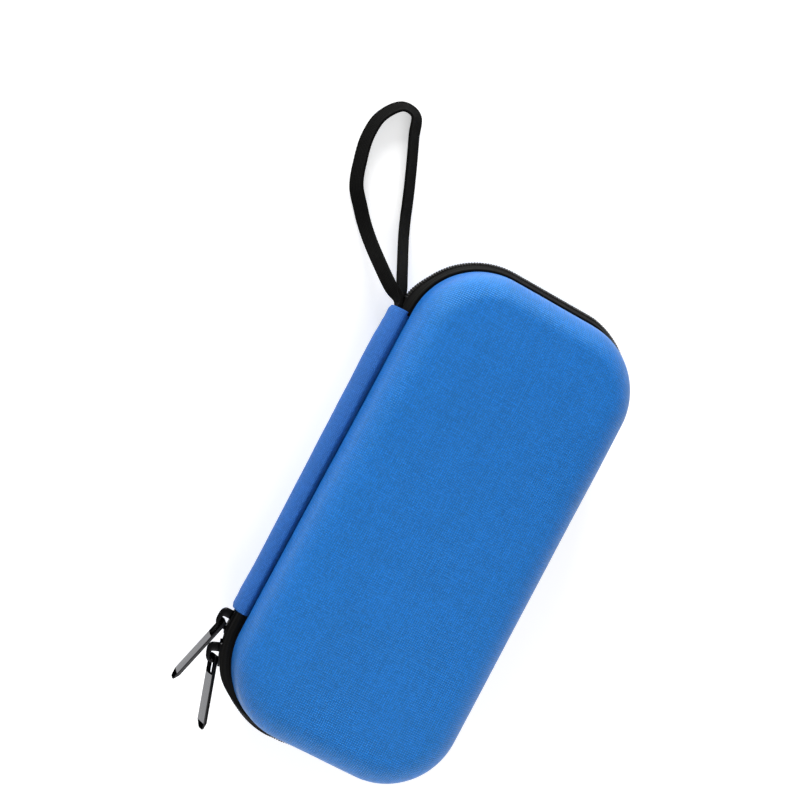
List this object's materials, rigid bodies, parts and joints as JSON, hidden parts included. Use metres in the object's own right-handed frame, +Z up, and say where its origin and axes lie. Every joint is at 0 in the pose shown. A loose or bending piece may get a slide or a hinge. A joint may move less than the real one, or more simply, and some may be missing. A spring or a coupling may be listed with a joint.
{
  "type": "insulin cooling case",
  "caption": "Zipped clamshell travel case with two blue moulded shells, a fabric spine, insulating liners, elastic pen loops, a gel pack and a wrist strap.",
  "frame": {"origin": "middle of the back shell's flat outer face, which the closed case lies on", "axes": "+Z up through the thickness to the front shell, +Y along the length towards the strap end, +X towards the opening side, away from the spine"},
  "size_m": [0.1487, 0.261, 0.048],
  "materials": {
    "shell_fabric": "blue woven polyester laminated on moulded EVA foam, matte",
    "spine_fabric": "blue woven polyester, matte",
    "foil_foam": "aluminised film on closed-cell foam",
    "black_tape": "black woven tape, matte",
    "black_elastic": "black ribbed elastic, matte",
    "black_webbing": "black polyester webbing, matte",
    "black_net": "black knitted net",
    "black_nylon": "black nylon coil, satin",
    "slider_metal": "black plated zinc, satin",
    "tab_metal": "gunmetal plated, satin",
    "panel_board": "grey fabric-covered board",
    "gel_film": "blue gel in a clear welded film"
  },
  "bodies": {
    "base": {"back_shell": "shell_fabric", "back_liner": "foil_foam", "back_zipper_tape": "black_tape", "back_zipper_coil": "black_nylon", "back_rim_binding": "black_tape", "gel_pack": "gel_film", "pen_panel": "panel_board", "pen_elastic_upper": "black_elastic", "pen_elastic_lower": "black_elastic", "wrist_strap": "black_webbing"},
    "spine": {"spine_strip": "spine_fabric", "spine_lining": "black_tape", "end_tape_front": "black_tape", "end_tape_back": "black_tape", "end_coil_front": "black_nylon", "end_coil_back": "black_nylon", "strap_anchor": "black_webbing"},
    "lid": {"front_shell": "shell_fabric", "front_liner": "foil_foam", "front_zipper_tape": "black_tape", "front_zipper_coil": "black_nylon", "front_rim_binding": "black_tape", "net_pocket": "black_net", "pocket_hem": "black_elastic"},
    "slider_upper": {"slider_upper": "slider_metal"},
    "slider_lower": {"slider_lower": "slider_metal"},
    "pull_tab_upper": {"pull_tab_upper": "tab_metal"},
    "pull_tab_lower": {"pull_tab_lower": "tab_metal"}
  },
  "joints": [
    {"name": "spine_fold", "type": "hinge", "parent": "base", "child": "spine", "pos_m": [-0.0485, 0, 0.017], "axis": [0, -1, 0], "range_deg": [0, 90], "deforming": ["wrist_strap"]},
    {"name": "lid_fold", "type": "hinge", "parent": "spine", "child": "lid", "pos_m": [-0.0485, 0, 0.031], "axis": [0, -1, 0], "range_deg": [0, 90]},
    {"name": "slider_upper_travel", "type": "slide", "parent": "spine", "child": "slider_upper", "axis": [0, -1, 0], "range_m": [0, 0.001]},
    {"name": "slider_lower_travel", "type": "hinge", "parent": "spine", "child": "slider_lower", "pos_m": [-0.0175, -0.07, 0.024], "axis": [0, 0, 1], "range_deg": [0, 55]},
    {"name": "pull_tab_upper_swing", "type": "hinge", "parent": "slider_upper", "child": "pull_tab_upper", "pos_m": [-0.0544, -0.0711, 0.024], "axis": [0, 0, -1], "range_deg": [0, 130]},
    {"name": "pull_tab_lower_swing", "type": "hinge", "parent": "slider_lower", "child": "pull_tab_lower", "pos_m": [-0.05137, -0.08471, 0.024], "axis": [0, 0, -1], "range_deg": [0, 45]}
  ],
  "couplings": [
    {"joint": "lid_fold", "follows": "spine_fold", "ratio": 1}
  ]
}
